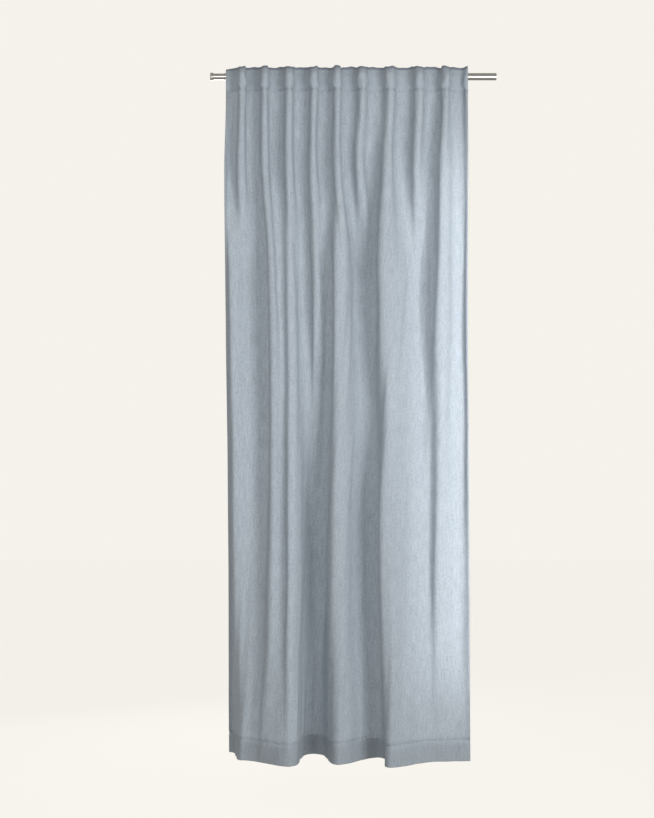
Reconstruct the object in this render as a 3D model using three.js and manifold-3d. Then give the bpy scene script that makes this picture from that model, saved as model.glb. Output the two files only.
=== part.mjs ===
// A fabric curtain panel that hangs by ten hidden loops from a telescopic curtain rod.
//
// Millimetres. +X runs along the rod, +Y points away from the room towards the window, +Z is up.
// The origin lies on the rod's axis. The cloth hangs on the room side of the rod.

import * as THREE from "three";
import { mergeVertices } from "three/addons/utils/BufferGeometryUtils.js";
import Module from "manifold-3d";

const wasm = await Module();
wasm.setup();

// The gap between pieces that touch.
const SEAT_GAP = 0.3;

// Rod: the outer tube holds the inner tube, which slides out at the left.
const OUTER_TUBE_RADIUS = 12.5;
const OUTER_TUBE_WALL = 1.2;
const OUTER_TUBE_LEFT = -436;
const OUTER_TUBE_RIGHT = 529;
const INNER_TUBE_WALL = 1;
const INNER_TUBE_LEFT = -474.7;
const INNER_TUBE_LENGTH = 418;
const TUBE_SIDES = 40;

// End cap: a flange outside the inner tube, and a split spigot inside it.
const CAP_RADIUS = 14;
const CAP_THICKNESS = 10.5;
const CAP_RIM_ROUNDING = 2;
const SPIGOT_LENGTH = 26;
const SPIGOT_TAPER = 1.2;
const SPIGOT_SLOT_WIDTH = 3;
const SPIGOT_SLOT_DEPTH = 20;

// Cloth, laid flat.
const CLOTH_WIDTH = 1400;
const CLOTH_DROP = 2450;
const CLOTH_THICKNESS = 0.9;
const TOP_EDGE_ABOVE_ROD = 30;

// Hems, and the tape that carries the loops.
const TOP_HEM_DEPTH = 86;
const SIDE_HEM_WIDTH = 15;
const BOTTOM_HEM_DEPTH = 70;
const BOTTOM_HEM_THICKNESS = 1.2;
const TAPE_THICKNESS = 0.9;
const TAPE_BELOW_TOP_EDGE = 6;
const TAPE_DEPTH = 78;

// Loops: straps sewn to the tape above and below the rod. The cloth is gathered between them.
const LOOP_WIDTH = 20;
const LOOP_THICKNESS = 0.8;
const LOOP_SEWN_LENGTH = 8;
const FIRST_LOOP_X = -409;
const LOOP_SPACINGS = [77, 81, 91, 84, 81, 95, 102, 102, 84];
const FIRST_LOOP_INSET = 20;
const LAST_LOOP_INSET = 48;
const RIGHT_EDGE_REACH = 37;

// The hung cloth's folds below the heading: the valleys and ridges of its section, from the left
// edge to the right, as [place along the rod, place away from the room]. The depths are drawn to one
// scale, which is then set so that each section holds the cloth's whole width.
const BODY_TOP_HEIGHT = -700;
const BODY_FOLDS = [
  [-429, -25], [-408, -55], [-300, 5], [-262, -75], [-238, -45], [-210, -70], [-135, -10], [-98, -55],
  [-72, -30], [-25, -105], [85, 10], [130, -95], [285, 5], [330, -80], [400, -15], [425, -30],
];
const LOWER_HEIGHT = -1550;
const LOWER_FOLDS = [
  [-424, 15], [-395, -35], [-295, 20], [-250, -80], [-225, -55], [-196, -85], [-105, 45],
  [-25, -100], [92, 10], [140, -110], [275, -10], [322, -65], [395, -20], [427, -35],
];
const FOOT_FOLDS = [
  [-426, 98], [-345, -60], [-202, -113], [-119, 70], [-31, -83], [111, 15], [147, -125],
  [310, -40], [434, -32],
];

// Mesh density.
const SECTION_STEP = 2;
const FLANK_STOPS = [0.17, 0.5, 0.83, 1];
const BODY_ROWS = 9;
const ROW_CROWDING = 1.25;
const LOOP_ARC_STEPS = 8;

const loopPitch = (CLOTH_WIDTH - FIRST_LOOP_INSET - LAST_LOOP_INSET) / LOOP_SPACINGS.length;
const headingFlank = (loopPitch - LOOP_WIDTH) / 2;
const bottomEdge = TOP_EDGE_ABOVE_ROD - CLOTH_DROP;
const topHemFoot = TOP_EDGE_ABOVE_ROD - TOP_HEM_DEPTH;
const tapeTop = TOP_EDGE_ABOVE_ROD - TAPE_BELOW_TOP_EDGE;
const tapeFoot = tapeTop - TAPE_DEPTH;
const bottomHemTop = bottomEdge + BOTTOM_HEM_DEPTH;

// The cloth keeps its gathered shape down to the foot of the tape or the top hem, whichever is lower.
const headingFoot = Math.min(topHemFoot, tapeFoot);

// The layers behind the cloth's middle surface, as distances from it. Positive is the room side.
const topHemLayer = layerBehind(-CLOTH_THICKNESS / 2, CLOTH_THICKNESS);
const tapeLayer = layerBehind(topHemLayer.back, TAPE_THICKNESS);
const sideHemLayer = layerBehind(-CLOTH_THICKNESS / 2, CLOTH_THICKNESS);
const bottomHemLayer = layerBehind(-CLOTH_THICKNESS / 2, BOTTOM_HEM_THICKNESS);
const tapeBackY = -(OUTER_TUBE_RADIUS + SEAT_GAP);
const clothAtLoopsY = tapeBackY + tapeLayer.back;

function layerBehind(surface, thickness) {
  const front = surface - SEAT_GAP;
  return { front, back: front - thickness };
}

// ---------- The cloth's folds ----------

// Over a flank the cloth turns from 0 to its steepest angle and back, as a sine.
function flankAngle(flank, share) {
  return flank.angle * Math.sin(Math.PI * share);
}

// The mean of a function of the cloth's angle over a flank.
function flankMean(angle, measure) {
  const steps = 60;
  let sum = 0;
  for (let i = 0; i < steps; i += 1) sum += measure(flankAngle({ angle }, (i + 0.5) / steps));
  return sum / steps;
}

// The value between low and high at which a falling function reaches the target.
function solveFalling(low, high, target, measure) {
  let lower = low;
  let upper = high;
  for (let i = 0; i < 50; i += 1) {
    const middle = (lower + upper) / 2;
    if (measure(middle) > target) lower = middle;
    else upper = middle;
  }
  return (lower + upper) / 2;
}

// A flank of a given length of cloth, from the width that it covers.
function flankOfLength(length, width) {
  const angle = solveFalling(0, 2.3, width / length, (a) => flankMean(a, Math.cos));
  return { length, angle };
}

// A flank between two points of a section, from the steps between them.
function flankBetween(across, away) {
  const steepness = Math.abs(away) / across;
  const flatness = (a) => -flankMean(a, Math.sin) / flankMean(a, Math.cos);
  const angle = solveFalling(0, 2.3, -steepness, flatness);
  return { length: across / flankMean(angle, Math.cos), angle: Math.sign(away) * angle };
}

// The heading lies flat on the rod at each loop and bulges into the room between loops.
function headingFlanks() {
  const strap = { length: LOOP_WIDTH, angle: 0 };
  const flanks = [{ length: FIRST_LOOP_INSET - LOOP_WIDTH / 2, angle: 0 }, strap];
  for (const spacing of LOOP_SPACINGS) {
    const flank = flankOfLength(headingFlank, (spacing - LOOP_WIDTH) / 2);
    flanks.push({ ...flank, angle: -flank.angle }, flank, strap);
  }
  const last = flankOfLength(LAST_LOOP_INSET - LOOP_WIDTH / 2, RIGHT_EDGE_REACH - LOOP_WIDTH / 2);
  return [...flanks, { ...last, angle: -last.angle }];
}

// The flanks between a section's points, with its depths multiplied by a scale.
function flanksThrough(folds, scale) {
  return folds.slice(1).map(([x, y], i) => flankBetween(x - folds[i][0], (y - folds[i][1]) * scale));
}

function totalLength(flanks) {
  return flanks.reduce((sum, flank) => sum + flank.length, 0);
}

function angleAt(flanks, distance) {
  let start = 0;
  for (const flank of flanks) {
    if (distance < start + flank.length) return flankAngle(flank, (distance - start) / flank.length);
    start += flank.length;
  }
  return 0;
}

// A section of the cloth: points a short step of cloth apart, from its left edge to its right.
function foldedSection(flanks, left) {
  const steps = Math.round(CLOTH_WIDTH / SECTION_STEP);
  const step = CLOTH_WIDTH / steps;
  const points = [new THREE.Vector2(left, 0)];
  for (let i = 0; i < steps; i += 1) {
    const angle = angleAt(flanks, (i + 0.5) * step);
    const along = new THREE.Vector2(Math.cos(angle), Math.sin(angle));
    points.push(points[i].clone().addScaledVector(along, step));
  }
  return points;
}

function meanY(points) {
  return points.reduce((sum, point) => sum + point.y, 0) / points.length;
}

// A section through given folds, which holds the whole cloth and hangs straight below the heading.
function hungSection(folds) {
  const lengthAt = (scale) => -totalLength(flanksThrough(folds, scale));
  const scale = solveFalling(0, 3, -CLOTH_WIDTH, lengthAt);
  const points = foldedSection(flanksThrough(folds, scale), folds[0][0]);
  const shift = new THREE.Vector2(0, meanY(headingSection) - meanY(points));
  return points.map((point) => point.add(shift));
}

const heading = headingFlanks();
const headingSection = foldedSection(heading, FIRST_LOOP_X - FIRST_LOOP_INSET);
for (const point of headingSection) point.y += clothAtLoopsY;
const bodySection = hungSection(BODY_FOLDS);
const lowerSection = hungSection(LOWER_FOLDS);
const footSection = hungSection(FOOT_FOLDS);

function shareBetween(value, start, end) {
  return THREE.MathUtils.smoothstep((value - start) / (end - start), 0, 1);
}

function pointOn(section, distance) {
  const place = (distance / CLOTH_WIDTH) * (section.length - 1);
  const index = Math.min(Math.floor(place), section.length - 2);
  return section[index].clone().lerp(section[index + 1], place - index);
}

// The cloth's points at one height, at these distances from its left edge.
function sectionAt(z, distances) {
  const bodyShare = shareBetween(z, headingFoot, BODY_TOP_HEIGHT);
  const lowerShare = shareBetween(z, BODY_TOP_HEIGHT, LOWER_HEIGHT);
  const footShare = shareBetween(z, LOWER_HEIGHT, bottomEdge);
  return distances.map((distance) => pointOn(headingSection, distance)
    .lerp(pointOn(bodySection, distance), bodyShare)
    .lerp(pointOn(lowerSection, distance), lowerShare)
    .lerp(pointOn(footSection, distance), footShare));
}

// ---------- The cloth's grid ----------

function columnDistances() {
  const stops = new Set([0, SIDE_HEM_WIDTH, CLOTH_WIDTH - SIDE_HEM_WIDTH, CLOTH_WIDTH]);
  let start = 0;
  for (const flank of heading) {
    const shares = flank.angle === 0 ? [1] : FLANK_STOPS;
    for (const share of shares) stops.add(start + share * flank.length);
    start += flank.length;
  }
  const sorted = [...stops].filter((stop) => stop <= CLOTH_WIDTH).sort((a, b) => a - b);
  return sorted.filter((stop, i) => i === 0 || stop - sorted[i - 1] > 1);
}

// Rows are closer together below the heading, where the small folds run out.
function rowHeights() {
  const heights = [TOP_EDGE_ABOVE_ROD, tapeTop, headingFoot];
  const fall = headingFoot - bottomHemTop;
  for (let i = 1; i < BODY_ROWS; i += 1) {
    heights.push(headingFoot - fall * (i / BODY_ROWS) ** ROW_CROWDING);
  }
  return [...heights, bottomHemTop, bottomEdge];
}

const columns = columnDistances();
const rows = rowHeights();
const grid = rows.map((z) => sectionAt(z, columns));
const gridNormals = grid.map(sectionNormals);

// Normals on the room side, lengthened at each bend so that layers keep their thickness.
function sectionNormals(points) {
  const sides = [];
  for (let i = 0; i + 1 < points.length; i += 1) {
    const along = points[i + 1].clone().sub(points[i]).normalize();
    sides.push(new THREE.Vector2(along.y, -along.x));
  }
  return points.map((point, i) => {
    const before = sides[Math.max(i - 1, 0)];
    const after = sides[Math.min(i, sides.length - 1)];
    const normal = before.clone().add(after).normalize();
    return normal.divideScalar(normal.dot(before));
  });
}

// A point of a layer on one column, at any height between two rows.
function layerPoint(column, z, offset) {
  let row = 0;
  while (row + 2 < rows.length && rows[row + 1] > z) row += 1;
  const share = (rows[row] - z) / (rows[row] - rows[row + 1]);
  const point = grid[row][column].clone().lerp(grid[row + 1][column], share);
  const normal = gridNormals[row][column].clone().lerp(gridNormals[row + 1][column], share);
  point.addScaledVector(normal, offset);
  return new THREE.Vector3(point.x, point.y, z);
}

// A closed sheet between two offsets, over a stretch of the cloth's columns and heights.
function sheetGeometry({ left = 0, right = CLOTH_WIDTH, top, foot, front, back }) {
  const inside = (distance) => distance >= left - 1 && distance <= right + 1;
  const chosen = columns.map((distance, i) => i).filter((i) => inside(columns[i]));
  const heights = [top, ...rows.filter((z) => z < top - 0.5 && z > foot + 0.5), foot];
  const positions = [];
  for (const offset of [front, back]) {
    for (const z of heights) {
      for (const column of chosen) positions.push(...layerPoint(column, z, offset).toArray());
    }
  }
  const across = chosen.length;
  const layerSize = across * heights.length;
  const frontAt = (row, column) => row * across + column;
  const backAt = (row, column) => layerSize + row * across + column;
  const indices = [];
  const quad = (a, b, c, d) => indices.push(a, b, c, a, c, d);
  for (let row = 0; row + 1 < heights.length; row += 1) {
    for (let column = 0; column + 1 < across; column += 1) {
      quad(frontAt(row, column), frontAt(row + 1, column),
        frontAt(row + 1, column + 1), frontAt(row, column + 1));
      indices.push(backAt(row, column), backAt(row + 1, column + 1), backAt(row + 1, column));
      indices.push(backAt(row, column), backAt(row, column + 1), backAt(row + 1, column + 1));
    }
    quad(frontAt(row, 0), backAt(row, 0), backAt(row + 1, 0), frontAt(row + 1, 0));
    quad(frontAt(row, across - 1), frontAt(row + 1, across - 1),
      backAt(row + 1, across - 1), backAt(row, across - 1));
  }
  const last = heights.length - 1;
  for (let column = 0; column + 1 < across; column += 1) {
    quad(frontAt(0, column), frontAt(0, column + 1), backAt(0, column + 1), backAt(0, column));
    quad(frontAt(last, column), backAt(last, column),
      backAt(last, column + 1), frontAt(last, column + 1));
  }
  const geometry = new THREE.BufferGeometry();
  geometry.setAttribute("position", new THREE.Float32BufferAttribute(positions, 3));
  geometry.setIndex(indices);
  geometry.computeVertexNormals();
  return geometry;
}

// ---------- The rod ----------

const outerTubeBore = OUTER_TUBE_RADIUS - OUTER_TUBE_WALL;

// A turned shape about the rod's axis. Profile points are (place along X, radius).
function turnedGeometry(profile) {
  const points = profile.map(([x, radius]) => new THREE.Vector2(radius, x));
  const geometry = new THREE.LatheGeometry(points, TUBE_SIDES);
  geometry.rotateZ(-Math.PI / 2);
  return geometry;
}

function tubeGeometry(left, right, outside, bore) {
  return turnedGeometry([
    [left, bore], [left, outside], [right, outside], [right, bore], [left, bore],
  ]);
}

function toSolid(geometry) {
  const bare = geometry.clone();
  bare.deleteAttribute("normal");
  bare.deleteAttribute("uv");
  const merged = mergeVertices(bare, 1e-4);
  return new wasm.Manifold(new wasm.Mesh({
    numProp: 3,
    vertProperties: Float32Array.from(merged.attributes.position.array),
    triVerts: Uint32Array.from(merged.index.array),
  }));
}

function fromSolid(solid) {
  const mesh = solid.getMesh();
  const geometry = new THREE.BufferGeometry();
  geometry.setAttribute("position", new THREE.Float32BufferAttribute(mesh.vertProperties, 3));
  geometry.setIndex(Array.from(mesh.triVerts));
  geometry.computeVertexNormals();
  return geometry;
}

const innerTubeRadius = outerTubeBore - SEAT_GAP;
const innerTubeBore = innerTubeRadius - INNER_TUBE_WALL;
const innerTubeRight = INNER_TUBE_LEFT + INNER_TUBE_LENGTH;

// The cap's spigot is split by a cross of two slots, so that it springs inside the tube.
function endCapGeometry() {
  const spigotRadius = innerTubeBore - SEAT_GAP;
  const flangeFace = INNER_TUBE_LEFT - SEAT_GAP;
  const outerFace = flangeFace - CAP_THICKNESS;
  const tip = flangeFace + SPIGOT_LENGTH;
  const turned = toSolid(turnedGeometry([
    [outerFace, 0],
    [outerFace, CAP_RADIUS - CAP_RIM_ROUNDING],
    [outerFace + CAP_RIM_ROUNDING * 0.3, CAP_RADIUS - CAP_RIM_ROUNDING * 0.3],
    [outerFace + CAP_RIM_ROUNDING, CAP_RADIUS],
    [flangeFace, CAP_RADIUS],
    [flangeFace, spigotRadius],
    [tip - SPIGOT_TAPER, spigotRadius],
    [tip, spigotRadius - SPIGOT_TAPER],
    [tip, 0],
  ]));
  const slot = new THREE.BoxGeometry(SPIGOT_SLOT_DEPTH * 2, SPIGOT_SLOT_WIDTH, CAP_RADIUS * 3);
  slot.translate(tip, 0, 0);
  const crossSlot = slot.clone().rotateX(Math.PI / 2);
  return fromSolid(turned.subtract(toSolid(slot)).subtract(toSolid(crossSlot)));
}

// ---------- The loops ----------

// The strap's middle line seen along the rod, as (y, z): sewn end, over and behind the rod, sewn end.
function loopPath() {
  const seatRadius = OUTER_TUBE_RADIUS + SEAT_GAP + LOOP_THICKNESS / 2;
  const sewnY = tapeBackY + SEAT_GAP + LOOP_THICKNESS / 2;
  const upperBend = new THREE.Vector2(sewnY, seatRadius + LOOP_THICKNESS);
  const lowerBend = new THREE.Vector2(sewnY, tapeFoot + LOOP_SEWN_LENGTH);
  const upperEnd = upperBend.clone().add(new THREE.Vector2(0, LOOP_SEWN_LENGTH));
  const lowerEnd = new THREE.Vector2(sewnY, tapeFoot);
  const leaving = lowerBend.angle() + Math.acos(seatRadius / lowerBend.length()) - 2 * Math.PI;
  const path = [upperEnd, upperBend];
  for (let i = 0; i <= LOOP_ARC_STEPS; i += 1) {
    const angle = THREE.MathUtils.lerp(Math.PI / 2, leaving, i / LOOP_ARC_STEPS);
    const half = (Math.PI / 2 - leaving) / LOOP_ARC_STEPS / 2;
    const radius = seatRadius / Math.cos(half);
    path.push(new THREE.Vector2(Math.cos(angle), Math.sin(angle)).multiplyScalar(radius));
  }
  return [...path, lowerBend, lowerEnd];
}

function loopGeometry() {
  const path = loopPath();
  const normals = sectionNormals(path);
  const side = (sign) => path.map((point, i) =>
    point.clone().addScaledVector(normals[i], (sign * LOOP_THICKNESS) / 2));
  const outline = new THREE.Shape([...side(1), ...side(-1).reverse()]);
  const geometry = new THREE.ExtrudeGeometry(outline, { depth: LOOP_WIDTH, bevelEnabled: false });
  geometry.translate(0, 0, -LOOP_WIDTH / 2);
  const turn = new THREE.Matrix4().makeBasis(
    new THREE.Vector3(0, 1, 0), new THREE.Vector3(0, 0, 1), new THREE.Vector3(1, 0, 0));
  return geometry.applyMatrix4(turn);
}

// ---------- Materials and assembly ----------

const cloth = () => new THREE.MeshStandardMaterial({ color: 0xa7b0b9, roughness: 0.95, metalness: 0 });
const doubledCloth = () => new THREE.MeshStandardMaterial({ color: 0x929ba4, roughness: 0.95 });
const tapeWeave = () => new THREE.MeshStandardMaterial({ color: 0xb9bfc4, roughness: 0.9 });
const brushedSteel = () => new THREE.MeshStandardMaterial({
  color: 0x9a9a98, roughness: 0.35, metalness: 0.9,
});
const mouldedCap = () => new THREE.MeshStandardMaterial({ color: 0x8c8c8a, roughness: 0.4 });

const curtain = new THREE.Group();

function addPiece(name, geometry, material, x = 0) {
  const mesh = new THREE.Mesh(geometry, material);
  mesh.name = name;
  mesh.position.x = x;
  curtain.add(mesh);
}

addPiece("outer_tube", tubeGeometry(OUTER_TUBE_LEFT, OUTER_TUBE_RIGHT, OUTER_TUBE_RADIUS,
  outerTubeBore), brushedSteel());
addPiece("inner_tube", tubeGeometry(INNER_TUBE_LEFT, innerTubeRight, innerTubeRadius,
  innerTubeBore), brushedSteel());
addPiece("end_cap", endCapGeometry(), mouldedCap());

addPiece("panel_cloth", sheetGeometry({
  top: TOP_EDGE_ABOVE_ROD, foot: bottomEdge, front: CLOTH_THICKNESS / 2, back: -CLOTH_THICKNESS / 2,
}), cloth());
addPiece("top_hem", sheetGeometry({
  top: TOP_EDGE_ABOVE_ROD, foot: topHemFoot, ...topHemLayer,
}), doubledCloth());
addPiece("heading_tape", sheetGeometry({ top: tapeTop, foot: tapeFoot, ...tapeLayer }), tapeWeave());
addPiece("bottom_hem", sheetGeometry({
  top: bottomHemTop, foot: bottomEdge, ...bottomHemLayer,
}), doubledCloth());

const sideHemHeights = { top: topHemFoot - SEAT_GAP, foot: bottomHemTop + SEAT_GAP };
addPiece("left_side_hem", sheetGeometry({
  right: SIDE_HEM_WIDTH, ...sideHemHeights, ...sideHemLayer,
}), doubledCloth());
addPiece("right_side_hem", sheetGeometry({
  left: CLOTH_WIDTH - SIDE_HEM_WIDTH, ...sideHemHeights, ...sideHemLayer,
}), doubledCloth());

let loopX = FIRST_LOOP_X;
for (const [i, spacing] of [...LOOP_SPACINGS, 0].entries()) {
  addPiece(`loop_${String(i + 1).padStart(2, "0")}`, loopGeometry(), tapeWeave(), loopX);
  loopX += spacing;
}

export default curtain;
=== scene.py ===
import math

import bmesh
import bpy
import numpy as np
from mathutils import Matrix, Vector


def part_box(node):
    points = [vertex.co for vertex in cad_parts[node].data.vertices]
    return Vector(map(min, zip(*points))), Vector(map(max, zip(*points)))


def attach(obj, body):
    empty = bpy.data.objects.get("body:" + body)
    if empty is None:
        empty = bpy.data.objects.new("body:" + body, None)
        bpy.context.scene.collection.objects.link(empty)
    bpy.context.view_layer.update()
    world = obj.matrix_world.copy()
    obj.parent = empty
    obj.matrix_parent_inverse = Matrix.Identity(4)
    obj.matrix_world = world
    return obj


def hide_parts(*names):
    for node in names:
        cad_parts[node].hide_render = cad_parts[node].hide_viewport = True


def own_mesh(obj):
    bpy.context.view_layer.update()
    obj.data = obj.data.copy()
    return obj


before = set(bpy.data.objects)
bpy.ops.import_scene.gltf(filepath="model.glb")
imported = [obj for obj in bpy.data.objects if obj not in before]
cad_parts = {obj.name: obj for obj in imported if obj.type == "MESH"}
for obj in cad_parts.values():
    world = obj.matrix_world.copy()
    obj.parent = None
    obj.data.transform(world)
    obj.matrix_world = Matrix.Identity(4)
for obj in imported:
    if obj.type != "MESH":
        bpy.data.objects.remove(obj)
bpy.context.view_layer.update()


# ---------------------------------------------------------------- rod tubes
# A telescopic curtain rod: two rolled steel tubes with a satin nickel finish. The 25 mm outer tube
# takes the 22 mm inner tube, which slides out at the left and stays by friction where it is put.

class Wire:
    """One output of a material's nodes. Arithmetic on it adds the Math nodes."""

    def __init__(self, tree, output):
        self.tree = tree
        self.output = output

    def node(self, kind, inputs, settings=None, output=0):
        return add_node(self.tree, kind, inputs, settings, output)

    def math(self, operation, *values, clamp=False):
        settings = {"operation": operation, "use_clamp": clamp}
        return self.node("ShaderNodeMath", dict(enumerate(values)), settings)

    def clamped(self):
        return self.math("ADD", self, 0.0, clamp=True)

    def __add__(self, other):
        return self.math("ADD", self, other)

    def __radd__(self, other):
        return self.math("ADD", other, self)

    def __sub__(self, other):
        return self.math("SUBTRACT", self, other)

    def __rsub__(self, other):
        return self.math("SUBTRACT", other, self)

    def __mul__(self, other):
        return self.math("MULTIPLY", self, other)

    def __rmul__(self, other):
        return self.math("MULTIPLY", other, self)


def add_node(tree, kind, inputs, settings=None, output=0):
    """Adds one node: its settings first, then each input's value or link, by name or index."""
    node = tree.nodes.new(kind)
    for name, value in (settings or {}).items():
        setattr(node, name, value)
    for name, value in inputs.items():
        if isinstance(value, Wire):
            tree.links.new(value.output, node.inputs[name])
        else:
            node.inputs[name].default_value = value
    return Wire(tree, node.outputs[output])


def new_material(name):
    material = bpy.data.materials.new(name)
    material.use_nodes = True
    material.node_tree.nodes.clear()
    return material, material.node_tree


def finish_material(tree, shader):
    surface = tree.nodes.new("ShaderNodeOutputMaterial").inputs["Surface"]
    tree.links.new(shader.output, surface)


def noise(tree, vector, scale, detail=2.0, roughness=0.5):
    inputs = {"Vector": vector, "Scale": scale, "Detail": detail, "Roughness": roughness}
    return add_node(tree, "ShaderNodeTexNoise", inputs)


def stretched(tree, vector, scale):
    """The coordinates multiplied axis by axis, so that a pattern runs long where scale is small."""
    return add_node(tree, "ShaderNodeMapping", {"Vector": vector, "Scale": scale})


def mixed_colour(tree, factor, first, second):
    inputs = {0: factor, 6: first, 7: second}
    return add_node(tree, "ShaderNodeMix", inputs, {"data_type": "RGBA"}, output=2)


def new_object(name, mesh, material):
    piece = bpy.data.objects.new(name, mesh)
    bpy.context.collection.objects.link(piece)
    mesh.materials.append(material)
    return piece


def shade_by_angle(mesh, limit=math.radians(35)):
    """Smooth shading, with a crisp edge wherever two faces meet at more than the limit."""
    edit = bmesh.new()
    edit.from_mesh(mesh)
    bmesh.ops.remove_doubles(edit, verts=edit.verts, dist=1e-7)
    bmesh.ops.recalc_face_normals(edit, faces=edit.faces)
    for face in edit.faces:
        face.smooth = True
    for edge in edit.edges:
        if len(edge.link_faces) == 2 and edge.calc_face_angle() > limit:
            edge.smooth = False
    edit.to_mesh(mesh)
    edit.free()


def turned_mesh(name, profile, sides=96, closed=True):
    """A solid turned about the rod's axis from points (place along X, radius)."""
    vertices = []
    faces = []
    for place, radius in profile:
        for i in range(sides):
            turn = 2 * math.pi * i / sides
            vertices.append((place, radius * math.sin(turn), radius * math.cos(turn)))
    rings = len(profile)
    for ring in range(rings if closed else rings - 1):
        after = (ring + 1) % rings
        for i in range(sides):
            side = (i + 1) % sides
            faces.append((ring * sides + i, ring * sides + side,
                          after * sides + side, after * sides + i))
    if not closed:
        faces.append(tuple(range(sides)))
        faces.append(tuple((rings - 1) * sides + i for i in range(sides)))
    mesh = bpy.data.meshes.new(name)
    mesh.from_pydata(vertices, [], faces)
    shade_by_angle(mesh)
    return mesh


def corner_arc(place, radius, rounding, start, end, steps=5):
    """Points of a rounded corner about (place, radius), between two angles in degrees."""
    angles = np.radians(np.linspace(start, end, steps))
    return [(place + rounding * math.cos(a), radius + rounding * math.sin(a)) for a in angles]


TUBE_EDGE = 0.00035


def tube_profile(left, right, outside, bore):
    """A tube's wall with its four edges broken."""
    return [
        *corner_arc(left + TUBE_EDGE, outside - TUBE_EDGE, TUBE_EDGE, 180, 90),
        *corner_arc(right - TUBE_EDGE, outside - TUBE_EDGE, TUBE_EDGE, 90, 0),
        *corner_arc(right - TUBE_EDGE, bore + TUBE_EDGE, TUBE_EDGE, 0, -90),
        *corner_arc(left + TUBE_EDGE, bore + TUBE_EDGE, TUBE_EDGE, -90, -180),
    ]


def satin_nickel(name, tint):
    """Brushed along the tube: long fine streaks in the roughness and the bump."""
    material, tree = new_material(name)
    place = add_node(tree, "ShaderNodeTexCoord", {}, output=3)
    streaks = noise(tree, stretched(tree, place, (6.0, 900.0, 900.0)), 1.0, 3.0)
    haze = noise(tree, place, 18.0, 2.0)
    dull = (tint[0] * 0.86, tint[1] * 0.86, tint[2] * 0.87, 1)
    colour = mixed_colour(tree, haze * 0.5 + 0.2, tint, dull)
    bump = add_node(tree, "ShaderNodeBump", {"Height": streaks, "Strength": 0.12, "Distance": 0.0002})
    finish_material(tree, add_node(tree, "ShaderNodeBsdfPrincipled", {
        "Base Color": colour, "Metallic": 1.0, "Roughness": streaks * 0.16 + 0.24, "Normal": bump,
    }))
    return material


rod_finish = satin_nickel("rod_satin_nickel", (0.50, 0.49, 0.46, 1))
outer_low, outer_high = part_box("outer_tube")
inner_low, inner_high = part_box("inner_tube")
TUBE_WALL = 0.0012
INNER_WALL = 0.001
outer_radius = outer_high[2]
inner_radius = inner_high[2]

outer_wall = tube_profile(outer_low[0], outer_high[0], outer_radius, outer_radius - TUBE_WALL)
inner_wall = tube_profile(inner_low[0], inner_high[0], inner_radius, inner_radius - INNER_WALL)
for name, profile, node, body in (
        ("outer_rod_tube", outer_wall, "outer_tube", "outer_rod"),
        ("inner_rod_tube", inner_wall, "inner_tube", "inner_rod")):
    tube = new_object(name, turned_mesh(name, profile), rod_finish)
    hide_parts(node)
    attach(tube, body)


# ---------------------------------------------------------------- end cap
# A flanged cap closes the inner tube's free end. It is a metal-plated moulding whose spigot, split
# by a cross of two slots, springs against the tube's bore and is in view when the cap is pulled.

cap_low, cap_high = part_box("end_cap")
CAP_GROOVE = 0.0011
CAP_RIM = 0.0022
CAP_BACK_EDGE = 0.0008
FACE_FLAT = 0.55
FACE_DISH = 0.62
FACE_DISH_DEPTH = 0.0004
SPIGOT_LENGTH = 0.026
SPIGOT_TAPER = 0.0012
SLOT_WIDTH = 0.003
SLOT_DEPTH = 0.020
FIT_GAP = 0.0003
cap_left = cap_low[0]
cap_radius = cap_high[2]
flange_face = inner_low[0] - FIT_GAP
spigot_tip = flange_face + SPIGOT_LENGTH
spigot_radius = inner_radius - INNER_WALL - FIT_GAP
groove = (cap_left + flange_face) / 2
cap_profile = [
    (cap_left, 0.0),
    (cap_left, cap_radius * FACE_FLAT),
    (cap_left + FACE_DISH_DEPTH, cap_radius * FACE_DISH),
    *corner_arc(cap_left + CAP_RIM, cap_radius - CAP_RIM, CAP_RIM, 180, 90, 9),
    (groove - CAP_GROOVE, cap_radius),
    (groove, cap_radius - CAP_GROOVE / 2),
    (groove + CAP_GROOVE, cap_radius),
    *corner_arc(flange_face - CAP_BACK_EDGE, cap_radius - CAP_BACK_EDGE, CAP_BACK_EDGE, 90, 0),
    (flange_face, spigot_radius),
    (spigot_tip - SPIGOT_TAPER, spigot_radius),
    (spigot_tip, spigot_radius - SPIGOT_TAPER),
    (spigot_tip, 0.0),
]


def plain_mesh(piece):
    """The mesh that a piece's modifiers make. The piece and its first mesh are removed."""
    finished = piece.evaluated_get(bpy.context.evaluated_depsgraph_get())
    mesh = bpy.data.meshes.new_from_object(finished)
    first = piece.data
    bpy.data.objects.remove(piece)
    bpy.data.meshes.remove(first)
    return mesh


def slotted(mesh, width, height):
    """The cap's mesh with one slot cut lengthwise through its spigot."""
    edit = bmesh.new()
    bmesh.ops.create_cube(edit, size=1.0)
    bmesh.ops.scale(edit, vec=(SLOT_DEPTH * 2, width, height), verts=edit.verts)
    bmesh.ops.translate(edit, vec=(spigot_tip, 0, 0), verts=edit.verts)
    cutter_mesh = bpy.data.meshes.new("slot_cutter")
    edit.to_mesh(cutter_mesh)
    edit.free()
    cutter = bpy.data.objects.new("slot_cutter", cutter_mesh)
    whole = bpy.data.objects.new("uncut_cap", mesh)
    for part in (cutter, whole):
        bpy.context.collection.objects.link(part)
    cut = whole.modifiers.new("slot", "BOOLEAN")
    cut.operation = "DIFFERENCE"
    cut.solver = "EXACT"
    cut.object = cutter
    result = plain_mesh(whole)
    bpy.data.objects.remove(cutter)
    bpy.data.meshes.remove(cutter_mesh)
    return result


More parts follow.
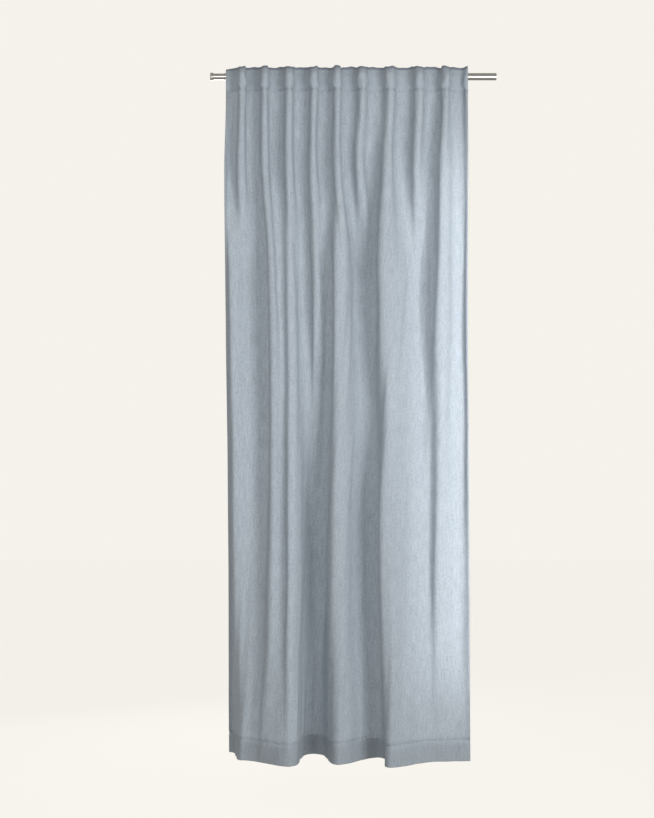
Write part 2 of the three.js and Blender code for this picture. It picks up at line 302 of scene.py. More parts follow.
cap_mesh = turned_mesh("end_cap_flange", cap_profile, closed=False)
past_spigot = cap_radius * 3
cap_mesh = slotted(slotted(cap_mesh, SLOT_WIDTH, past_spigot), past_spigot, SLOT_WIDTH)
cap_mesh.name = "end_cap_flange"
cap_mesh.materials.clear()
shade_by_angle(cap_mesh)
cap_finish = satin_nickel("cap_satin_nickel", (0.52, 0.51, 0.48, 1))
end_flange = new_object("end_cap_flange", cap_mesh, cap_finish)
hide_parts("end_cap")
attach(end_flange, "rod_cap")


# ---------------------------------------------------------------- face cloth
# One width of semi-sheer linen-look cloth, 1400 mm by 2450 mm, in light grey-blue. Ten hidden loops
# gather its heading on the rod, and below it the small folds run together into three deep ones.

CLOTH_WIDTH = 1.400
CLOTH_DROP = 2.450
CLOTH_THICKNESS = 0.0005
TOP_EDGE = 0.030
SEAT_GAP = 0.0003
LOOP_WIDTH = 0.020
LOOP_SPACINGS = np.array([77, 81, 91, 84, 81, 95, 102, 102, 84]) / 1000
FIRST_LOOP_X = -0.409
FIRST_LOOP_INSET = 0.020
LAST_LOOP_INSET = 0.048
RIGHT_EDGE_REACH = 0.037
TOP_HEM_DEPTH = 0.086
BOTTOM_HEM_DEPTH = 0.070
SIDE_HEM_WIDTH = 0.015

# The folds below the heading: the valleys and ridges of the cloth's section, from the left edge to
# the right, as millimetres (along the rod, away from the room). One scale is solved for the depths.
UPPER_HEIGHT = -0.330
UPPER_FOLDS = [
    (-433, -20), (-412, 5), (-374, -42), (-332, 5), (-288, -55), (-250, 5), (-206, -52),
    (-163, 5), (-122, -48), (-80, 5), (-34, -62), (2, 0), (42, -42), (86, 5), (137, -66), (198, 8),
    (244, -44), (296, 8), (336, -60), (400, 0), (427, -15),
]
BODY_HEIGHT = -0.720
BODY_FOLDS = [
    (-431, -20), (-412, -36), (-300, 10), (-264, -66), (-234, -38), (-206, -58), (-145, -8), (-110, -50),
    (-72, -25), (-34, -88), (80, 20), (122, -82), (292, 15), (326, -56), (408, 5), (426, -12),
]
LOWER_HEIGHT = -1.550
LOWER_FOLDS = [
    (-424, 24), (-398, -12), (-300, 8), (-260, -58), (-226, -44), (-202, -72), (-98, 48),
    (-40, -88), (92, 18), (128, -96), (288, -12), (320, -36), (405, -2), (430, -16),
]
FOOT_FOLDS = [
    (-426, 90), (-374, -22), (-202, -108), (-119, 70), (-31, -83), (111, 15), (147, -122),
    (310, -42), (434, -32),
]
# Each section's crests, from the heading down: how crisp they are, above 1, and the roundness of the
# flanks, where 1 is an even curve and less leaves the flank straighter between tighter bends.
SECTION_SHAPES = ((1.2, 1.0), (1.35, 1.0), (1.25, 1.0), (1.2, 0.9), (1.15, 0.45))

HEADING_SEAM = -0.054
bottom_edge = TOP_EDGE - CLOTH_DROP
top_hem_foot = TOP_EDGE - TOP_HEM_DEPTH
bottom_hem_top = bottom_edge + BOTTOM_HEM_DEPTH
HEM_SEAM = bottom_hem_top + 0.002
loop_xs = FIRST_LOOP_X + np.concatenate([[0], np.cumsum(LOOP_SPACINGS)])
columns = np.linspace(0, CLOTH_WIDTH, 281)


def flank_turn(share, shape):
    """How far a flank is turned along it, from a valley at 0 to a crest at 1."""
    crispness, roundness = shape
    return np.sin(np.pi * np.clip(share, 0, 1) ** crispness) ** roundness


def flank_mean(angle, measure, shape):
    """The mean of a function of the cloth's angle over a flank that turns to this angle and back."""
    share = (np.arange(200) + 0.5) / 200
    return measure(angle * flank_turn(share, shape)).mean()


def solve_falling(low, high, target, measure):
    """Where a measure that falls from low to high meets its target."""
    for _ in range(50):
        middle = (low + high) / 2
        if measure(middle) > target:
            low = middle
        else:
            high = middle
    return (low + high) / 2


STEEPEST = 2.3


def flank_of_length(length, width):
    """The steepest angle of a heading flank of a given length, from the width that it covers."""
    def width_share(angle):
        return flank_mean(angle, np.cos, SECTION_SHAPES[0])

    return solve_falling(0, STEEPEST, width / length, width_share)


def heading_flanks():
    """Flat on the rod at each loop, with a bulge into the room between two loops."""
    pitch = (CLOTH_WIDTH - FIRST_LOOP_INSET - LAST_LOOP_INSET) / len(LOOP_SPACINGS)
    length = (pitch - LOOP_WIDTH) / 2
    flanks = [(FIRST_LOOP_INSET - LOOP_WIDTH / 2, 0.0), (LOOP_WIDTH, 0.0)]
    for spacing in LOOP_SPACINGS:
        angle = flank_of_length(length, (spacing - LOOP_WIDTH) / 2)
        flanks += [(length, -angle), (length, angle), (LOOP_WIDTH, 0.0)]
    last = LAST_LOOP_INSET - LOOP_WIDTH / 2
    return flanks + [(last, -flank_of_length(last, RIGHT_EDGE_REACH - LOOP_WIDTH / 2))]


def flanks_through(folds, scale, shape):
    """The flanks between a section's points, with its depths multiplied by a scale."""
    def slope(angle):
        return flank_mean(angle, np.sin, shape) / flank_mean(angle, np.cos, shape)

    flanks = []
    for across, away in np.diff(np.array(folds) / 1000, axis=0):
        steepness = abs(away) * scale / across
        angle = solve_falling(0, STEEPEST, -steepness, lambda a: -slope(a))
        flanks.append((across / flank_mean(angle, np.cos, shape), math.copysign(angle, away)))
    return flanks


SECTION_STEPS = 1400
section_distances = np.linspace(0, CLOTH_WIDTH, SECTION_STEPS + 1)


def folded_section(flanks, left, shape):
    """The cloth's (x, y) along one height, from flanks of (length, steepest angle)."""
    starts = np.concatenate([[0], np.cumsum([length for length, _ in flanks])])
    middles = (section_distances[1:] + section_distances[:-1]) / 2
    flank = np.clip(np.searchsorted(starts, middles, side="right") - 1, 0, len(flanks) - 1)
    share = (middles - starts[flank]) / (starts[flank + 1] - starts[flank])
    steepest = np.array([angle for _, angle in flanks])[flank]
    angles = steepest * flank_turn(np.where(steepest < 0, share, 1 - share), shape)
    step = CLOTH_WIDTH / SECTION_STEPS
    across = np.concatenate([[0], np.cumsum(np.cos(angles) * step)])
    away = np.concatenate([[0], np.cumsum(np.sin(angles) * step)])
    return np.stack([left + across, away], axis=1)


def hung_section(folds, mean_y, shape):
    """A section through given folds, which holds the whole cloth and hangs below the heading."""
    def less_length(scale):
        return -sum(length for length, _ in flanks_through(folds, scale, shape))

    scale = solve_falling(0, 3, -CLOTH_WIDTH, less_length)
    section = folded_section(flanks_through(folds, scale, shape), folds[0][0] / 1000, shape)
    section[:, 1] += mean_y - section[:, 1].mean()
    return section


# Behind the cloth lie the top hem and the tape. The tape's back rests on the rod at each loop.
HEM_LAYERS = {"top": (-0.75e-3, -1.65e-3), "tape": (-1.95e-3, -2.85e-3)}
heading = folded_section(heading_flanks(), FIRST_LOOP_X - FIRST_LOOP_INSET, SECTION_SHAPES[0])
heading[:, 1] += -(outer_radius + SEAT_GAP) + HEM_LAYERS["tape"][1]
heading_mean = heading[:, 1].mean()
hung = [hung_section(folds, heading_mean, shape) for folds, shape in zip(
    (UPPER_FOLDS, BODY_FOLDS, LOWER_FOLDS, FOOT_FOLDS), SECTION_SHAPES[1:])]


def share_between(value, start, end):
    """0 before start and 1 after end, with a smooth rise between."""
    share = np.clip((value - start) / (end - start), 0, 1)
    return share * share * (3 - 2 * share)


def along_section(section, distances):
    """A section's (x, y) at distances along the cloth."""
    return np.stack([np.interp(distances, section_distances, section[:, i]) for i in (0, 1)], axis=-1)


def hung_cloth(distances, heights):
    """The cloth's middle surface as a grid of points, one row for each height."""
    sections = [along_section(section, distances) for section in (heading, *hung)]
    levels = [top_hem_foot, UPPER_HEIGHT, BODY_HEIGHT, LOWER_HEIGHT, bottom_edge]
    slopes = [np.zeros_like(sections[0])]
    for i in range(1, len(levels) - 1):
        slopes.append((sections[i + 1] - sections[i - 1]) / (levels[i + 1] - levels[i - 1]))
    slopes.append((sections[-1] - sections[-2]) / (levels[-1] - levels[-2]))
    grid = []
    for z in heights:
        i = int(np.clip(np.searchsorted(-np.array(levels), -z) - 1, 0, len(levels) - 2))
        drop = levels[i + 1] - levels[i]
        t = np.clip((z - levels[i]) / drop, 0, 1)
        flat = (sections[i] * (2 * t ** 3 - 3 * t ** 2 + 1) + sections[i + 1] * (3 * t ** 2 - 2 * t ** 3)
                + slopes[i] * drop * (t ** 3 - 2 * t ** 2 + t) + slopes[i + 1] * drop * (t ** 3 - t ** 2))
        grid.append(np.column_stack([flat, np.full(len(distances), z)]))
    return np.array(grid)


def grid_normals(grid):
    """Unit normals of a grid of points, on the room side."""
    across = np.gradient(grid, axis=1)
    down = np.gradient(grid, axis=0)
    normals = np.cross(down, across)
    return normals / np.linalg.norm(normals, axis=2, keepdims=True)


WIDEST_ROW = 0.0172
NARROWEST_ROW = 0.0030


def close_rows():
    """Row heights: a few millimetres apart at the two seams and the edges, and wider between."""
    lines = np.array([TOP_EDGE, HEADING_SEAM, HEM_SEAM, bottom_edge])
    heights = [TOP_EDGE]
    while heights[-1] > bottom_edge:
        nearest = np.abs(lines - heights[-1]).min()
        heights.append(heights[-1] - min(WIDEST_ROW, NARROWEST_ROW + 0.2 * nearest))
    heights = np.array(heights)
    return TOP_EDGE - (TOP_EDGE - heights) * CLOTH_DROP / (TOP_EDGE - heights[-1])


def near(values, place, width):
    """A smooth bump: 1 at a place, and gone at twice the width from it."""
    return np.exp(-((values - place) / width) ** 2)


def ripples(distances, heights, seed, count, across, down):
    """A sum of small waves of even strength, their lengths taken between two limits each way."""
    draw = np.random.default_rng(seed)
    total = np.zeros((len(heights), len(distances)))
    for _ in range(count):
        wave_across = draw.uniform(*across)
        wave_down = draw.uniform(*down) * draw.choice([-1, 1])
        phase = draw.uniform(0, 2 * np.pi)
        turns = distances[None, :] / wave_across + heights[:, None] / wave_down
        total += np.sin(2 * np.pi * turns + phase)
    return total * math.sqrt(2 / count)


FRILL_EASE = 0.34
FRILL_DROP = 0.05
FRILL_LEAN = 0.0045
FRILL_WAVE = 0.0014
CORNER_SAG = 0.007
SEAM_PULL = 0.0042
CREASE_DEPTH = 0.0008
SLIGHT_DEPTH = 0.0006


def eased_heading(grid):
    """The frill above the rod eased back and waved, with its left corner sagging."""
    x = grid[:, :, 0]
    z = grid[:, :, 2]
    depth = heading[:, 1].max() - grid[:, :, 1]
    above_rod = 1 - share_between(-z, -TOP_EDGE, 0.004)
    at_top = np.clip((z - 0.020) / (TOP_EDGE - 0.020), 0, 1)
    upward = share_between(z, 0.004, TOP_EDGE)
    waves = ripples(columns, rows, 31, 7, (0.030, 0.110), (0.2, 0.5))
    shaped = grid.copy()
    shaped[:, :, 1] += depth * above_rod * FRILL_EASE
    shaped[:, :, 2] -= depth * above_rod * FRILL_DROP
    shaped[:, :, 1] += FRILL_LEAN * at_top ** 2
    shaped[:, :, 2] += (FRILL_WAVE * waves - CORNER_SAG * near(x, x.min(), 0.030)) * upward
    return shaped


def sewn_and_creased(grid):
    """The cloth with its frill eased, its two seams drawn in, and small creases all over."""
    x = grid[:, :, 0]
    z = grid[:, :, 2]
    between_loops = 1 - np.max([near(x, middle, 0.016) for middle in loop_xs], axis=0)
    shaped = eased_heading(grid)
    heading_pull = 0.0030 * near(z, -0.036, 0.014) - SEAM_PULL * near(z, HEADING_SEAM, 0.0065)
    hem_pull = -SEAM_PULL * near(z, HEM_SEAM, 0.006) + 0.0015 * near(z, HEM_SEAM + 0.02, 0.012)
    gathers = ripples(columns, rows, 11, 9, (0.019, 0.034), (0.10, 0.40))
    by_seams = 0.0011 * near(z, HEADING_SEAM - 0.012, 0.045) + 0.0007 * near(z, HEM_SEAM, 0.022)
    pucker_waves = ripples(columns, rows, 47, 9, (0.026, 0.060), (0.05, 0.14))
    puckers = 0.0032 * near(z, -0.018, 0.028) * np.maximum(pucker_waves, 0)
    creases = ripples(columns, rows, 5, 16, (0.035, 0.090), (0.5, 2.4))
    slight = ripples(columns, rows, 23, 10, (0.10, 0.30), (0.18, 0.60))
    hanging = share_between(z, HEADING_SEAM, HEADING_SEAM - 0.25)
    lift = (between_loops * (heading_pull + puckers + by_seams * gathers) + hem_pull
            + hanging * (CREASE_DEPTH * creases + SLIGHT_DEPTH * slight))
    return shaped + grid_normals(shaped) * lift[:, :, None]


rows = close_rows()
cloth_grid = sewn_and_creased(hung_cloth(columns, rows))
cloth_normals = grid_normals(cloth_grid)


def sheet_mesh(name, grid, distances, heights, thickness):
    """A closed thin sheet about a grid of points, with a UV map in metres of flat cloth."""
    normals = grid_normals(grid)
    down, across = grid.shape[:2]
    points = np.concatenate([
        (grid + normals * thickness / 2).reshape(-1, 3),
        (grid - normals * thickness / 2).reshape(-1, 3),
    ])
    front = np.arange(down * across).reshape(down, across)
    back = front + down * across
    quads = [
        np.stack([front[:-1, :-1], front[1:, :-1], front[1:, 1:], front[:-1, 1:]], axis=-1),
        np.stack([back[:-1, :-1], back[:-1, 1:], back[1:, 1:], back[1:, :-1]], axis=-1),
        np.stack([front[0, :-1], front[0, 1:], back[0, 1:], back[0, :-1]], axis=-1),
        np.stack([front[-1, :-1], back[-1, :-1], back[-1, 1:], front[-1, 1:]], axis=-1),
        np.stack([front[:-1, 0], back[:-1, 0], back[1:, 0], front[1:, 0]], axis=-1),
        np.stack([front[:-1, -1], front[1:, -1], back[1:, -1], back[:-1, -1]], axis=-1),
    ]
    faces = np.concatenate([quad.reshape(-1, 4) for quad in quads])
    mesh = bpy.data.meshes.new(name)
    mesh.from_pydata(points.tolist(), [], faces.tolist())
    flat = np.stack(np.meshgrid(distances, heights), axis=-1).reshape(-1, 2)
    flat = np.concatenate([flat, flat])
    loop_vertices = np.empty(len(mesh.loops), dtype=np.int32)
    mesh.loops.foreach_get("vertex_index", loop_vertices)
    layer = mesh.uv_layers.new(name="cloth_flat")
    layer.data.foreach_set("uv", flat[loop_vertices].astype(np.float32).ravel())
    mesh.polygons.foreach_set("use_smooth", np.ones(len(faces), dtype=bool))
    mesh.update()
    return mesh


# How often each pattern of the weave repeats in a metre of flat cloth, across it and down it.
WARP = (620.0, 26.0, 1.0)
WEFT = (30.0, 560.0, 1.0)
GRAIN = (250.0, 120.0, 1.0)
SLUBS = (150.0, 22.0, 1.0)
# Height on the flat cloth above which a band of painted shade darkens the top edge.
PAINTED_SHADE_FROM = 0.0165
TAPE_TINT = (0.58, 0.66, 0.74, 1)


def tinted(tone, red, green, blue):
    return (tone[0] * red, tone[1] * green, tone[2] * blue, 1)


def linen_look(name, tone, through_tone, sheer, tape_shows=0.0, edge_shade=0.0):
    """Slubby plain weave that lets light through. Where it covers the tape it is paler. Along the
    top a darker band is painted in: painted shade of the frill above the rod, partly the denser
    folded-over edge."""
    material, tree = new_material(name)
    flat = add_node(tree, "ShaderNodeUVMap", {}, {"uv_map": "cloth_flat"})
    warp = noise(tree, stretched(tree, flat, WARP), 1.0, 2.0, 0.6)
    weft = noise(tree, stretched(tree, flat, WEFT), 1.0, 2.0, 0.6)
    grain = noise(tree, stretched(tree, flat, GRAIN), 1.0, 2.0, 0.7)
    slubs = noise(tree, stretched(tree, flat, SLUBS), 1.0, 3.0, 0.6)
    clouds = noise(tree, flat, 9.0, 3.0, 0.6)
    yarns = warp * 0.5 + weft * 0.5
    mottle = (grain - 0.5) * 1.9 + (slubs - 0.5) * 1.4
    shade = (yarns - 0.5) * 0.6 + mottle + (clouds - 0.5) * 0.3 + 0.5
    light = tinted(tone, 1.28, 1.26, 1.24)
    dark = tinted(tone, 0.72, 0.74, 0.76)
    woven = mixed_colour(tree, shade, dark, light)
    place_up = add_node(tree, "ShaderNodeSeparateXYZ", {0: flat}, output=1)
    above_seam = ((place_up - HEADING_SEAM) * 600.0).clamped()
    below_rod = ((0.004 - place_up) * 90.0).clamped()
    with_tape = mixed_colour(tree, above_seam * below_rod * tape_shows, woven, TAPE_TINT)
    # Painted shade: the top strip is darkened in the colour for the frill in shadow above the rod, partly
    # also for the denser doubled edge.
    top_painted_shade = ((place_up - PAINTED_SHADE_FROM) * 160.0).clamped()
    colour = mixed_colour(tree, top_painted_shade * edge_shade, with_tape, tinted(tone, 0.42, 0.45, 0.52))
    height = yarns + grain * 0.5
    bump = add_node(tree, "ShaderNodeBump", {"Height": height, "Strength": 0.5, "Distance": 0.0007})
    surface = add_node(tree, "ShaderNodeBsdfPrincipled", {
        "Base Color": colour, "Roughness": grain * 0.1 + 0.85, "Normal": bump,
        "Sheen Weight": 0.15, "Sheen Roughness": 0.5, "Specular IOR Level": 0.25,
    })
    through = add_node(tree, "ShaderNodeBsdfTranslucent", {"Color": through_tone, "Normal": bump})
    through_share = (shade - 0.5) * 0.25 + sheer
    shaders = {0: through_share, 1: surface, 2: through}
    finish_material(tree, add_node(tree, "ShaderNodeMixShader", shaders))
    return material


CLOTH_TONE = (0.44, 0.492, 0.548)
LIGHT_THROUGH = (0.60, 0.635, 0.665, 1)
# edge_shade sets how strong the painted shade along the cloth's top edge is.
cloth_weave = linen_look(
    "linen_look_cloth", CLOTH_TONE, LIGHT_THROUGH, 0.38, tape_shows=0.36, edge_shade=0.75)
panel = new_object("curtain_cloth", sheet_mesh(
    "curtain_cloth", cloth_grid, columns, rows, CLOTH_THICKNESS), cloth_weave)
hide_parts("panel_cloth")


def goes_with_curtain(piece):
    """Rides with the panel."""
    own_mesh(piece)
    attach(piece, "curtain")


# ---------------------------------------------------------------- hems and heading tape
# The cloth's edges are turned to the back and sewn: 86 mm at the top, 70 mm at the foot and 15 mm
# at each side. A woven polyester tape sewn over the top hem carries the hidden loops.

def strip_behind(name, offsets, thickness, left, right, top, low, material):
    """A strip of the cloth's own surface, set behind it by the middle of two offsets."""
    in_columns = np.flatnonzero((columns > left + 1e-6) & (columns < right - 1e-6))
    in_rows = np.flatnonzero((rows < top - 1e-6) & (rows > low + 1e-6))
    distances = np.concatenate([[left], columns[in_columns], [right]])
    heights = np.concatenate([[top], rows[in_rows], [low]])
    surface = resampled(cloth_grid, distances, heights)
    normals = resampled(cloth_normals, distances, heights)
    normals /= np.linalg.norm(normals, axis=2, keepdims=True)
    grid = surface + normals * (offsets[0] + offsets[1]) / 2
    return new_object(name, sheet_mesh(name, grid, distances, heights, thickness), material)


def resampled(grid, distances, heights):
    """A grid's values at other distances and heights, by straight lines between its own."""
    column = np.interp(distances, columns, np.arange(len(columns)))
    row = np.interp(-heights, -rows, np.arange(len(rows)))
    left = np.minimum(column.astype(int), len(columns) - 2)
    top = np.minimum(row.astype(int), len(rows) - 2)
    a = (column - left)[None, :, None]
    b = (row - top)[:, None, None]
    upper = grid[top][:, left] * (1 - a) + grid[top][:, left + 1] * a
    lower = grid[top + 1][:, left] * (1 - a) + grid[top + 1][:, left + 1] * a
    return upper * (1 - b) + lower * b


FOOT_LAYER = (-0.75e-3, -1.95e-3)
FOOT_THICKNESS = 0.0009
side_hem_top = top_hem_foot - SEAT_GAP
side_hem_low = bottom_hem_top + SEAT_GAP
hem_weave = linen_look("linen_look_hem", CLOTH_TONE, LIGHT_THROUGH, 0.25)
top_hem = strip_behind("turned_top_hem", HEM_LAYERS["top"], CLOTH_THICKNESS,
                       0, CLOTH_WIDTH, TOP_EDGE, top_hem_foot, hem_weave)
bottom_hem = strip_behind("turned_bottom_hem", FOOT_LAYER, FOOT_THICKNESS,
                          0, CLOTH_WIDTH, bottom_hem_top, bottom_edge, hem_weave)
left_hem = strip_behind("turned_left_hem", HEM_LAYERS["top"], CLOTH_THICKNESS,
                        0, SIDE_HEM_WIDTH, side_hem_top, side_hem_low, hem_weave)
right_hem = strip_behind("turned_right_hem", HEM_LAYERS["top"], CLOTH_THICKNESS,
                         CLOTH_WIDTH - SIDE_HEM_WIDTH, CLOTH_WIDTH, side_hem_top, side_hem_low, hem_weave)
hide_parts("top_hem")
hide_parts("bottom_hem")
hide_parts("left_side_hem")
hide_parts("right_side_hem")

TAPE_TOP = 0.024
TAPE_FOOT = HEADING_SEAM


def woven_tape(name):
    """A narrow herringbone tape, a little paler than the cloth."""
    material, tree = new_material(name)
    flat = add_node(tree, "ShaderNodeUVMap", {}, {"uv_map": "cloth_flat"})
    ribs = add_node(tree, "ShaderNodeTexWave", {
        "Vector": flat, "Scale": 110.0, "Distortion": 0.4, "Detail": 1.0,
    }, {"wave_type": "BANDS", "bands_direction": "Y"})
    fuzz = noise(tree, stretched(tree, flat, (500.0, 500.0, 1.0)), 1.0, 2.0)
    colour = mixed_colour(tree, ribs * 0.6 + fuzz * 0.4, (0.56, 0.58, 0.60, 1), (0.70, 0.72, 0.74, 1))
    relief = {"Height": ribs + fuzz * 0.5, "Strength": 0.4, "Distance": 0.0005}
    bump = add_node(tree, "ShaderNodeBump", relief)
    finish_material(tree, add_node(tree, "ShaderNodeBsdfPrincipled", {
        "Base Color": colour, "Roughness": fuzz * 0.1 + 0.8, "Normal": bump, "Specular IOR Level": 0.25,
    }))
    return material


tape_weave = woven_tape("woven_tape")
TAPE_THICKNESS = 0.0008
tape = strip_behind("heading_tape_band", HEM_LAYERS["tape"], TAPE_THICKNESS,
                    0, CLOTH_WIDTH, TAPE_TOP, TAPE_FOOT, tape_weave)
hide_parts("heading_tape")
for piece, slot in ((panel, "panel_fabric"), (top_hem, "hem_fabric"), (bottom_hem, "hem_fabric"),
                    (left_hem, "hem_fabric"), (right_hem, "hem_fabric"), (tape, "loop_tape")):
    goes_with_curtain(piece)


# ---------------------------------------------------------------- sewing thread
# Polyester thread in straight lockstitch, about 4 mm to a stitch. It holds the four hems and both
# edges of the tape, and shows on the face and on the back.

STITCH_LENGTH = 0.0031
STITCH_GAP = 0.0010
THREAD_RADIUS = 0.00028


def stitch_tree(material):
    """Geometry Nodes: one small rounded stitch at every step along the seam lines it is given."""
    tree = bpy.data.node_groups.new("lockstitch", "GeometryNodeTree")
    new_socket = tree.interface.new_socket
    new_socket("Geometry", in_out="INPUT", socket_type="NodeSocketGeometry")
    sockets = {}
    for name in ("Stitch Length", "Stitch Gap", "Thread Radius"):
        sockets[name] = new_socket(name, in_out="INPUT", socket_type="NodeSocketFloat").identifier
    new_socket("Geometry", in_out="OUTPUT", socket_type="NodeSocketGeometry")
    given = tree.nodes.new("NodeGroupInput")
    seams, length, gap, radius = (Wire(tree, given.outputs[i]) for i in range(4))
    lines = add_node(tree, "GeometryNodeMeshToCurve", {"Mesh": seams})
    steps = add_node(tree, "GeometryNodeResampleCurve",
                     {"Curve": lines, "Length": length + gap}, {"mode": "LENGTH"})
    bead = add_node(tree, "GeometryNodeMeshUVSphere", {"Segments": 6, "Rings": 4, "Radius": 1.0})
    size = add_node(tree, "ShaderNodeCombineXYZ", {0: length * 0.5, 1: radius, 2: radius})
    stitch = add_node(tree, "GeometryNodeTransform", {"Geometry": bead, "Scale": size})
    along = add_node(tree, "GeometryNodeInputTangent", {})
    turn = add_node(tree, "FunctionNodeAlignRotationToVector", {"Vector": along}, {"axis": "X"})
    row = add_node(tree, "GeometryNodeInstanceOnPoints",
                   {"Points": steps, "Instance": stitch, "Rotation": turn})
    real = add_node(tree, "GeometryNodeRealizeInstances", {"Geometry": row})
    sewn = add_node(tree, "GeometryNodeSetMaterial", {"Geometry": real, "Material": material})
    tree.links.new(sewn.output, tree.nodes.new("NodeGroupOutput").inputs[0])
    return tree, sockets


def sewn_thread(name, seams, stitching):
    """A piece of thread along several lines of points, each a seam."""
    tree, sockets = stitching
    points = np.concatenate(seams)
    ends = np.cumsum([len(seam) for seam in seams])
    edges = [(i, i + 1) for i in range(len(points) - 1) if i + 1 not in ends]
    lines = bpy.data.meshes.new(name + "_lines")
    lines.from_pydata(points.tolist(), edges, [])
    holder = bpy.data.objects.new(name + "_lines", lines)
    bpy.context.collection.objects.link(holder)
    modifier = holder.modifiers.new("stitches", "NODES")
    modifier.node_group = tree
    modifier[sockets["Stitch Length"]] = STITCH_LENGTH
    modifier[sockets["Stitch Gap"]] = STITCH_GAP
    modifier[sockets["Thread Radius"]] = THREAD_RADIUS
    mesh = plain_mesh(holder)
    mesh.name = name
    mesh.polygons.foreach_set("use_smooth", np.ones(len(mesh.polygons), dtype=bool))
    piece = bpy.data.objects.new(name, mesh)
    bpy.context.collection.objects.link(piece)
    return piece


def sewing_thread_finish():
    """Twisted thread: fine slanting bands of light and dark."""
    material, tree = new_material("sewing_thread")
    place = add_node(tree, "ShaderNodeTexCoord", {}, output=3)
    twist = add_node(tree, "ShaderNodeTexWave",
                     {"Vector": place, "Scale": 480.0}, {"bands_direction": "DIAGONAL"})
    colour = mixed_colour(tree, twist, (0.33, 0.37, 0.42, 1), (0.47, 0.52, 0.58, 1))
    finish_material(tree, add_node(tree, "ShaderNodeBsdfPrincipled", {
        "Base Color": colour, "Roughness": twist * 0.15 + 0.5, "Specular IOR Level": 0.4,
    }))
    return material


def seam_line(distances, heights, behind):
    """Points on the hung cloth, this far behind its middle."""
    across = resampled(cloth_grid, distances, heights)
    normals = resampled(cloth_normals, distances, heights)
    return (across + normals * -behind).reshape(-1, 3)


# How far behind the cloth's middle each row of thread lies: on its face, and on each layer's back.
FACE = -(CLOTH_THICKNESS / 2 + THREAD_RADIUS * 0.4)
TAPE_BACK = 0.00290
FOOT_BACK = 0.00190
SIDE_BACK = 0.00155
EDGE_INSET = 0.002
SIDE_INSET = 0.004
along_seam = np.linspace(EDGE_INSET, CLOTH_WIDTH - EDGE_INSET, 1200)
down_side = np.linspace(top_hem_foot - SIDE_INSET, bottom_hem_top + SIDE_INSET, 700)
lockstitch = stitch_tree(sewing_thread_finish())
seams = []
for height, behind in ((TAPE_TOP - EDGE_INSET, TAPE_BACK), (TAPE_FOOT + EDGE_INSET, TAPE_BACK),
                       (bottom_hem_top - EDGE_INSET, FOOT_BACK)):
    for depth in (FACE, behind):
        seams.append(seam_line(along_seam, np.array([height]), depth))
for inset in (SIDE_HEM_WIDTH - EDGE_INSET, CLOTH_WIDTH - SIDE_HEM_WIDTH + EDGE_INSET):
    for depth in (FACE, SIDE_BACK):
        seams.append(seam_line(np.array([inset]), down_side, depth))
thread = sewn_thread("sewing_thread", seams, lockstitch)
goes_with_curtain(thread)


# ---------------------------------------------------------------- hidden loops
# Ten straps of the same tape, sewn to it above and below the rod. The rod passes between each
# strap and the tape, and the curtain's weight hangs on them.

LOOP_THICKNESS = 0.0008
LOOP_SEWN = 0.008
TACK_REACH = 0.42


def loop_path():
    """The strap's middle line as (y, z): sewn end, over and behind the rod, lower sewn end."""
    seat = outer_radius + SEAT_GAP + LOOP_THICKNESS / 2
    sewn_y = -outer_radius + LOOP_THICKNESS / 2
    upper_bend = np.array([sewn_y, seat + LOOP_THICKNESS])
    lower_bend = np.array([sewn_y, TAPE_FOOT + LOOP_SEWN])
    reach = np.linalg.norm(lower_bend)
    leaving = math.atan2(lower_bend[1], lower_bend[0]) + math.acos(seat / reach)
    arc = np.linspace(math.pi / 2, leaving, 28)
    return np.concatenate([
        [upper_bend + [0, LOOP_SEWN], upper_bend + [0, LOOP_SEWN / 2], upper_bend],
        np.stack([seat * np.cos(arc), seat * np.sin(arc)], axis=1),
        [lower_bend, lower_bend - [0, LOOP_SEWN / 2], lower_bend - [0, LOOP_SEWN]],
    ])


def strap_mesh(name, middle):
    """One strap, as a closed band along the loop's path."""
    path = loop_path()
    lengths = np.concatenate([[0], np.cumsum(np.linalg.norm(np.diff(path, axis=0), axis=1))])
    across = np.linspace(-LOOP_WIDTH / 2, LOOP_WIDTH / 2, 7)
    grid = np.array([[(middle + x, y, z) for x in across] for y, z in path])
    return sheet_mesh(name, grid, across, -lengths, LOOP_THICKNESS)


def tack_lines(middle):
    """Two short rows of stitches across each sewn end, on the strap's back."""
    back = -outer_radius + LOOP_THICKNESS + THREAD_RADIUS * 0.4
    upper = outer_radius + SEAT_GAP + LOOP_THICKNESS * 1.5
    reach = np.linspace(-LOOP_WIDTH * TACK_REACH, LOOP_WIDTH * TACK_REACH, 8)
    heights = (upper + LOOP_SEWN * 0.3, upper + LOOP_SEWN * 0.75,
               TAPE_FOOT + LOOP_SEWN * 0.25, TAPE_FOOT + LOOP_SEWN * 0.7)
    return [np.array([(middle + x, back, z) for x in reach]) for z in heights]


for number, middle in enumerate(loop_xs, start=1):
    node = f"loop_{number:02d}"
    strap = new_object(f"hidden_{node}", strap_mesh(f"hidden_{node}", middle), tape_weave)
    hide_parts(node)
    body = "curtain" if number == 1 else f"{node}_strap"
    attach(strap, body)
    tack = sewn_thread(f"tack_{number:02d}", tack_lines(middle), lockstitch)
    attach(tack, body)


# ---------------------------------------------------------------- floor, backdrop, light and camera
# A plain pale floor that runs out to a pale surround, broad soft light from the front right and from
# behind, and a camera five metres away near the middle of the curtain's height.

FLOOR_Z = bottom_edge - 0.26
FLOOR_REACH = 9
FLOOR_TONE = (0.05, 0.049, 0.046, 1)
SURROUND = (0.913, 0.888, 0.831, 1)


def seen_or_not(tree, when_seen, otherwise):
    """One strength where the camera sees a surface, and another for the light that it gives."""
    return add_node(tree, "ShaderNodeLightPath", {}) * (when_seen - otherwise) + otherwise


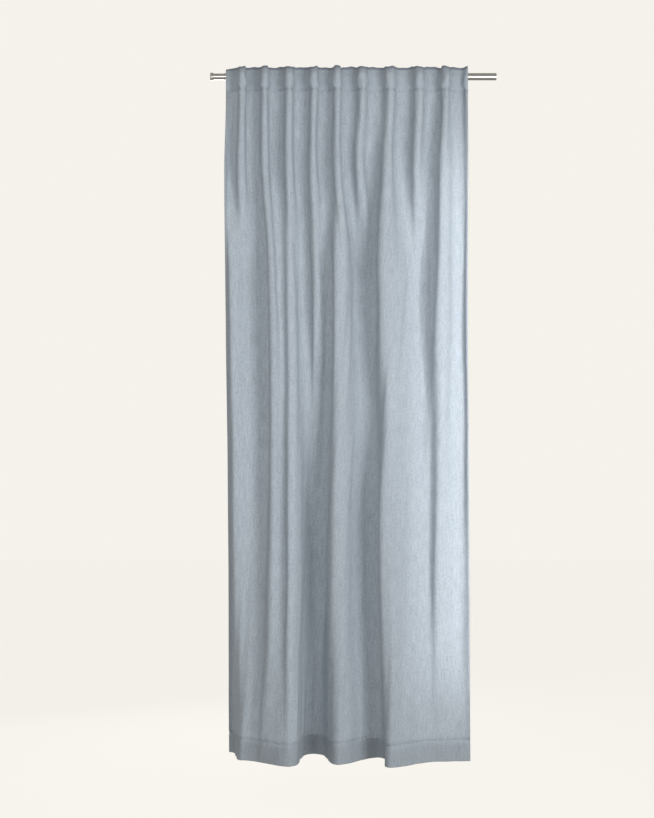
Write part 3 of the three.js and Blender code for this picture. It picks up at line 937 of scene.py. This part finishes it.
floor_mesh = bpy.data.meshes.new("floor")
floor_mesh.from_pydata([
    (-FLOOR_REACH, -FLOOR_REACH, FLOOR_Z), (FLOOR_REACH, -FLOOR_REACH, FLOOR_Z),
    (FLOOR_REACH, FLOOR_REACH, FLOOR_Z), (-FLOOR_REACH, FLOOR_REACH, FLOOR_Z),
], [], [(0, 1, 2, 3)])
floor_finish, floor_tree = new_material("floor")
finish_material(floor_tree, add_node(floor_tree, "ShaderNodeBsdfPrincipled", {
    "Base Color": FLOOR_TONE, "Roughness": 0.95, "Specular IOR Level": 0.1,
    "Emission Color": SURROUND, "Emission Strength": seen_or_not(floor_tree, 0.945, 0.36),
}))
new_object("floor", floor_mesh, floor_finish)


def soft_light(name, place, target, size, power, spread=180):
    """A rectangular light that points at a target, with its size in metres and power in watts."""
    data = bpy.data.lights.new(name, "AREA")
    data.shape = "RECTANGLE"
    data.size, data.size_y = size
    data.energy = power
    data.spread = math.radians(spread)
    lamp = bpy.data.objects.new(name, data)
    lamp.location = place
    lamp.visible_camera = False
    lamp.rotation_euler = (Vector(target) - Vector(place)).to_track_quat("-Z", "Y").to_euler()
    bpy.context.collection.objects.link(lamp)


soft_light("key_light", (1.7, -2.3, -1.0), (0.05, 0, -1.05), (1.2, 1.1), 60)
soft_light("fill_light", (-1.1, -3.0, -0.5), (0, 0, -0.5), (1.4, 1.2), 30)
soft_light("window_light", (-0.8, 2.3, -1.25), (0.1, 0, -1.2), (1.8, 1.4), 60)
soft_light("edge_light", (0.95, -0.75, -1.22), (0.42, 0, -1.22), (0.10, 1.9), 1.1, spread=32)
soft_light("back_edge_light", (0.44, 0.42, -1.25), (0.40, 0, -1.25), (0.12, 1.8), 1.7, spread=70)

world = bpy.data.worlds.new("studio")
world.use_nodes = True
studio = world.node_tree
studio.nodes.clear()
surround = add_node(studio, "ShaderNodeBackground", {
    "Color": SURROUND, "Strength": seen_or_not(studio, 1.0, 0.52),
})
studio.links.new(surround.output, studio.nodes.new("ShaderNodeOutputWorld").inputs["Surface"])
bpy.context.scene.world = world
bpy.context.scene.view_settings.view_transform = "Standard"

CAMERA_PLACE = (-0.0715, -5.0, -1.179)
CAMERA_ANGLE = 32.37
camera_data = bpy.data.cameras.new("camera")
camera_data.sensor_fit = "VERTICAL"
camera_data.angle_y = math.radians(CAMERA_ANGLE)
camera = bpy.data.objects.new("camera", camera_data)
camera.location = CAMERA_PLACE
camera.rotation_euler = (math.radians(90), 0, 0)
bpy.context.collection.objects.link(camera)
bpy.context.scene.camera = camera
